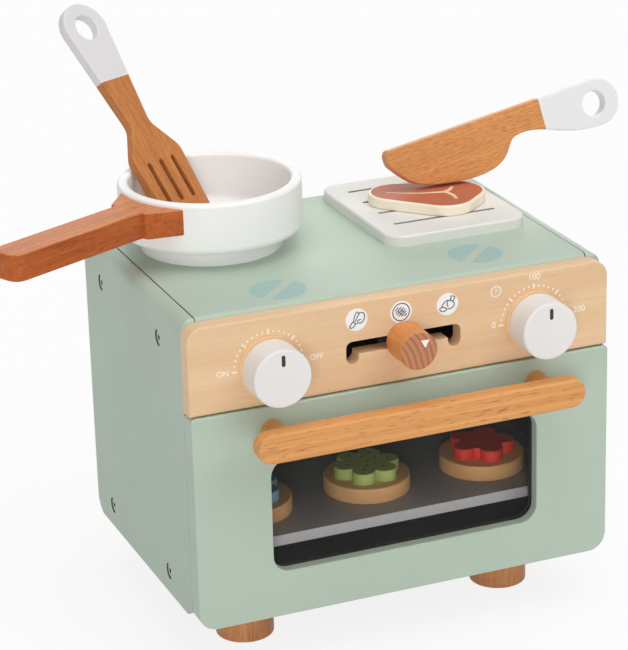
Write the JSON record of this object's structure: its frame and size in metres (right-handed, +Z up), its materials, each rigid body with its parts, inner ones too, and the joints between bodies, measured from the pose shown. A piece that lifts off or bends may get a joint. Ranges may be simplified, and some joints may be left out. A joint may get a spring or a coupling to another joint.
{
  "type": "toy oven",
  "caption": "Tabletop wooden toy oven with a drop-down windowed door, turning dials, a sliding selector, a pan with a spatula, a grill board with food, and biscuits inside.",
  "frame": {"origin": "on the floor under the middle of the whole object's box, 5 mm left of the middle of the casing and 2.2 mm behind it", "axes": "+X to the right seen from the front, +Y from the front to the back, +Z up"},
  "size_m": [0.4589, 0.2753, 0.3754],
  "materials": {
    "green_paint": "satin paint on wood",
    "white_paint": "satin paint on wood",
    "dark_paint": "matt paint on wood",
    "grey_paint": "satin paint on wood",
    "panel_wood": "clear lacquer",
    "honey_wood": "clear lacquer",
    "red_wood": "clear lacquer",
    "plywood": "plain",
    "biscuit_wood": "clear lacquer",
    "board_paint": "satin paint on wood",
    "pale_wood": "clear lacquer, printed on top",
    "topping_green": "satin paint on wood",
    "topping_red": "satin paint on wood",
    "topping_blue": "satin paint on wood",
    "clear_pane": "clear, polished",
    "plated_steel": "zinc plated",
    "dark_plastic": "matt"
  },
  "bodies": {
    "casing": {"left_side": "green_paint", "right_side": "green_paint", "side_bolts": "plated_steel", "top_panel": "green_paint", "bottom_panel": "dark_paint", "cavity_ceiling": "dark_paint", "back_panel": "plywood", "back_screws": "plated_steel", "front_rail": "dark_paint", "foot_screws": "plated_steel", "foot_front_left": "honey_wood", "foot_front_right": "honey_wood", "foot_rear_left": "honey_wood", "foot_rear_right": "honey_wood", "shelf_runners": "dark_paint", "oven_shelf": "grey_paint", "casing_magnets": "plated_steel", "control_panel": "panel_wood", "panel_dowels": "panel_wood", "selector_guides": "dark_paint", "knob_spacers": "panel_wood", "hinge_case_leaves": "plated_steel", "hinge_case_screws": "plated_steel", "hinge_pins": "plated_steel"},
    "door": {"door_panel": "green_paint", "window_pane": "clear_pane", "pane_bezel": "dark_paint", "bezel_screws": "plated_steel", "handle_bar": "honey_wood", "handle_posts": "honey_wood", "handle_screws": "plated_steel", "door_magnets": "plated_steel", "hinge_door_leaves": "plated_steel", "hinge_door_screws": "plated_steel"},
    "left_dial": {"left_knob": "white_paint", "left_shaft": "honey_wood", "left_washer": "dark_plastic", "left_knob_screw": "plated_steel"},
    "right_dial": {"right_knob": "white_paint", "right_shaft": "honey_wood", "right_washer": "dark_plastic", "right_knob_screw": "plated_steel"},
    "selector_carriage": {"selector_slider": "dark_plastic"},
    "selector": {"selector_knob": "red_wood", "selector_shaft": "honey_wood", "selector_washer": "dark_plastic", "selector_screw": "plated_steel"},
    "pan": {"pan_bowl": "white_paint", "pan_handle": "red_wood", "pan_screws": "plated_steel"},
    "spatula_tool": {"spatula": "honey_wood"},
    "grill": {"grill_board": "board_paint"},
    "steak_food": {"steak": "pale_wood"},
    "knife_tool": {"knife": "honey_wood"},
    "left_biscuit": {"left_cookie": "biscuit_wood", "left_topping": "topping_blue"},
    "middle_biscuit": {"middle_cookie": "biscuit_wood", "middle_topping": "topping_green"},
    "right_biscuit": {"right_cookie": "biscuit_wood", "right_topping": "topping_red"}
  },
  "joints": [
    {"name": "door_hinge", "type": "hinge", "parent": "casing", "child": "door", "pos_m": [0.005, -0.09445, 0.037], "axis": [1, 0, 0], "range_deg": [0, 85]},
    {"name": "left_dial_turn", "type": "hinge", "parent": "casing", "child": "left_dial", "pos_m": [-0.0835, -0.1052, 0.2013], "axis": [0, -1, 0], "continuous": true},
    {"name": "right_dial_turn", "type": "hinge", "parent": "casing", "child": "right_dial", "pos_m": [0.0935, -0.1052, 0.2013], "axis": [0, -1, 0], "continuous": true},
    {"name": "selector_travel", "type": "slide", "parent": "casing", "child": "selector_carriage", "axis": [1, 0, 0], "range_m": [-0.034, 0.034]},
    {"name": "selector_drop", "type": "slide", "parent": "selector_carriage", "child": "selector", "axis": [0, 0, 1], "range_m": [-0.006, 0]},
    {"name": "pan_lift", "type": "slide", "parent": "casing", "child": "pan", "axis": [0, 0, 1], "range_m": [0, 0.12]},
    {"name": "spatula_pull", "type": "slide", "parent": "pan", "child": "spatula_tool", "axis": [-0.2853, 0.5366, 0.7942], "range_m": [0, 0.12]},
    {"name": "grill_lift", "type": "slide", "parent": "casing", "child": "grill", "axis": [0, 0, 1], "range_m": [0, 0.1]},
    {"name": "steak_lift", "type": "slide", "parent": "grill", "child": "steak_food", "axis": [0, 0, 1], "range_m": [0, 0.08]},
    {"name": "knife_lift", "type": "slide", "parent": "steak_food", "child": "knife_tool", "axis": [0, 0, 1], "range_m": [0, 0.08]},
    {"name": "left_cookie_lift", "type": "slide", "parent": "casing", "child": "left_biscuit", "axis": [0, 0, 1], "range_m": [0, 0.06]},
    {"name": "middle_cookie_lift", "type": "slide", "parent": "casing", "child": "middle_biscuit", "axis": [0, 0, 1], "range_m": [0, 0.06]},
    {"name": "right_cookie_lift", "type": "slide", "parent": "casing", "child": "right_biscuit", "axis": [0, 0, 1], "range_m": [0, 0.06]}
  ]
}
